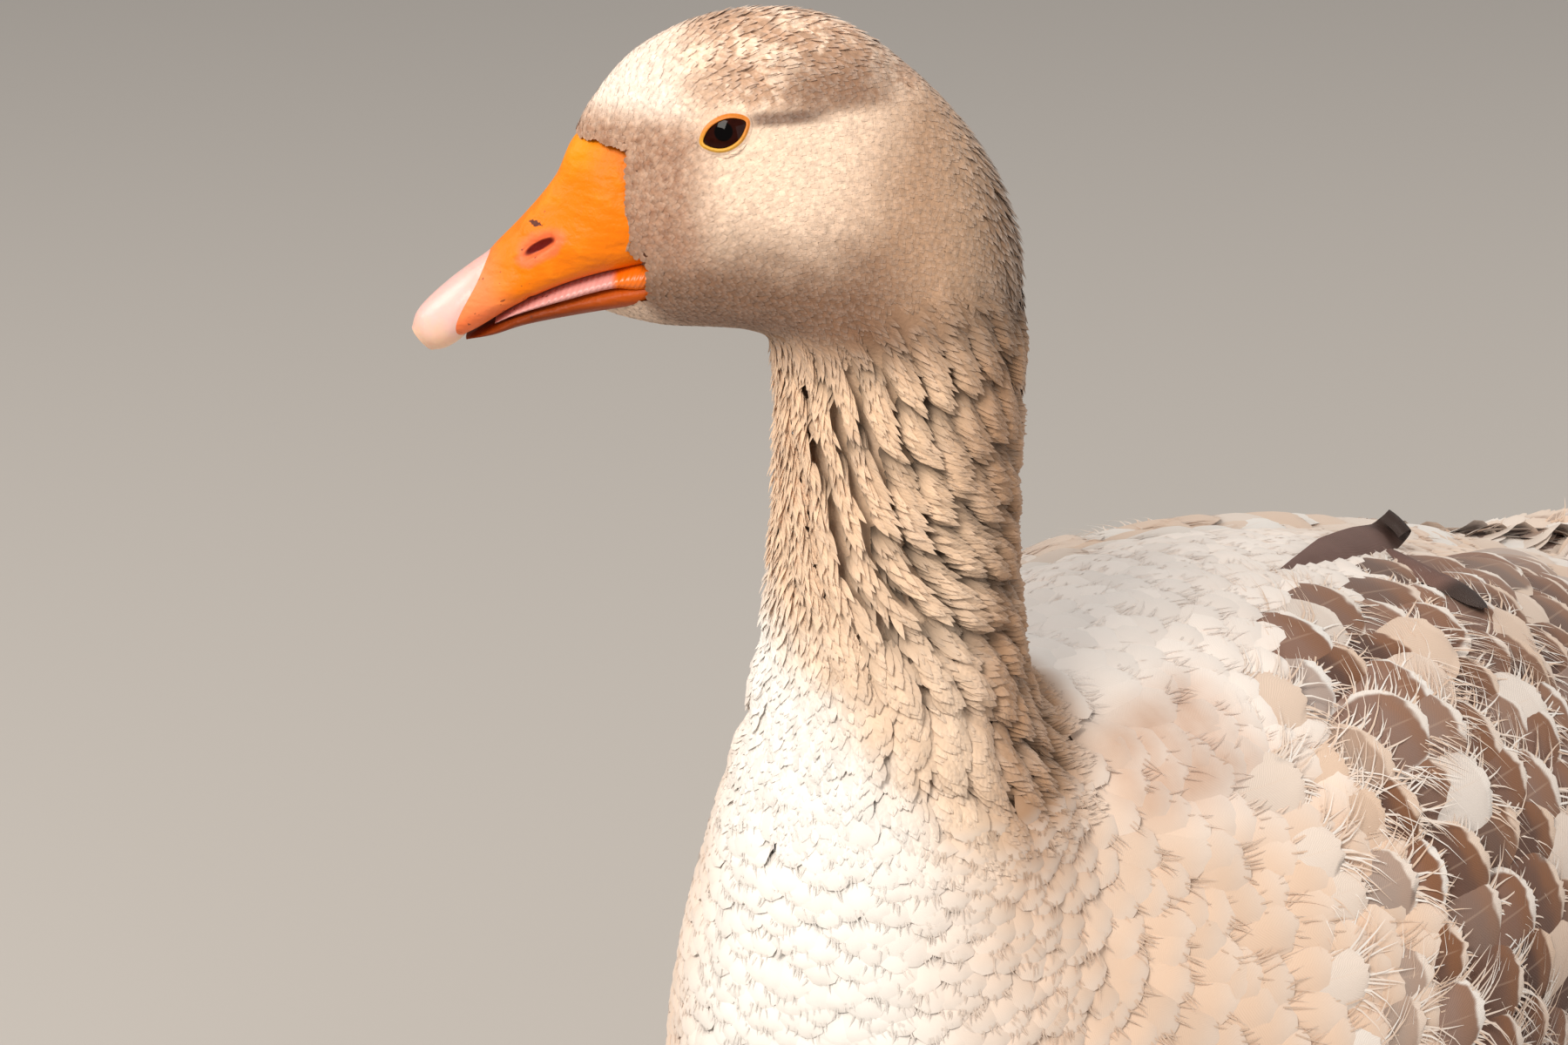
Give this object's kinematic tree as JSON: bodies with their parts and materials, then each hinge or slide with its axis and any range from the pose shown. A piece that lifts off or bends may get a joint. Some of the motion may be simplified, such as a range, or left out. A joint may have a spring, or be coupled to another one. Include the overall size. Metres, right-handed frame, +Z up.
{
  "type": "domestic goose figure",
  "caption": "Life-size standing goose with an upright furrowed neck, head turned aside, deep bill, folded wings, short tail and webbed feet.",
  "frame": {"origin": "on the floor, at the bottom centre of the bounding box", "axes": "+Z up; the body faces -Y and the head is turned to the bird's right, towards -X; the bird's left side is +X"},
  "size_m": [0.2534, 0.5612, 0.5824],
  "materials": {
    "head_feathers": "short soft feathers, pale cream with a mottled grey-brown crown",
    "neck_feathers": "soft buff feathers in slanting furrows, white low down in front",
    "body_feathers": "soft white to cream feathers",
    "wing_feathers": "mauve-brown feathers with wide cream fringes",
    "tail_feathers": "white feathers with a few brown marks",
    "bill_horn": "smooth orange skin over the bill, satin",
    "nail_horn": "smooth pale horn",
    "tongue_skin": "moist pink skin",
    "eye": "wet, very dark brown",
    "foot_skin": "scaly orange skin",
    "claw_horn": "pale horn"
  },
  "bodies": {
    "root": {"head": "head_feathers", "neck_upper": "neck_feathers", "neck_middle": "neck_feathers", "neck_lower": "neck_feathers", "trunk": "body_feathers", "tail": "tail_feathers", "wing_left": "wing_feathers", "wing_right": "wing_feathers", "thigh_left": "body_feathers", "thigh_right": "body_feathers", "bill_upper": "bill_horn", "bill_nail": "nail_horn", "bill_lower": "bill_horn", "tongue": "tongue_skin", "eye_left": "eye", "shank_left": "foot_skin", "foot_left": "foot_skin", "claw_inner_left": "claw_horn", "claw_middle_left": "claw_horn", "claw_outer_left": "claw_horn", "claw_hind_left": "claw_horn", "eye_right": "eye", "shank_right": "foot_skin", "foot_right": "foot_skin", "claw_inner_right": "claw_horn", "claw_middle_right": "claw_horn", "claw_outer_right": "claw_horn", "claw_hind_right": "claw_horn"}
  },
  "joints": []
}
